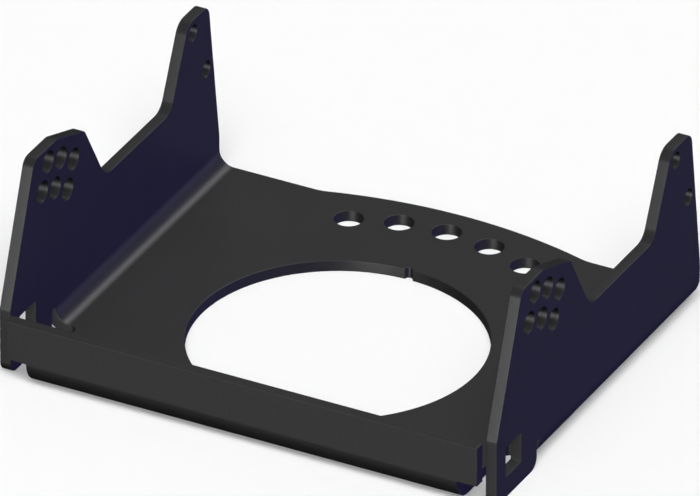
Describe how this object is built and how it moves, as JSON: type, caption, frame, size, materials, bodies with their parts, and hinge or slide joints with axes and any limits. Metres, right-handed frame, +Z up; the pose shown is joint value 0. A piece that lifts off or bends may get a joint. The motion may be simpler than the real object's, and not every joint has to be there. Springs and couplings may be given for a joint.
{
  "type": "plow push tube mount",
  "caption": "Folded steel plate with profiled side plates, a low front flange, a large round opening and bolt holes, which carries a plow's push tube under a vehicle.",
  "frame": {"origin": "middle of the bounding box in plan, on the underside of the floor", "axes": "+X across to the right-hand side plate, +Y back from the low front flange to the bulging rear edge, +Z up"},
  "size_m": [0.2858, 0.247, 0.1132],
  "materials": {
    "powder_coat": "fine-grained satin black powder coat on 1/4 in steel plate"
  },
  "bodies": {
    "root": {"mount_plate": "powder_coat"}
  },
  "joints": []
}
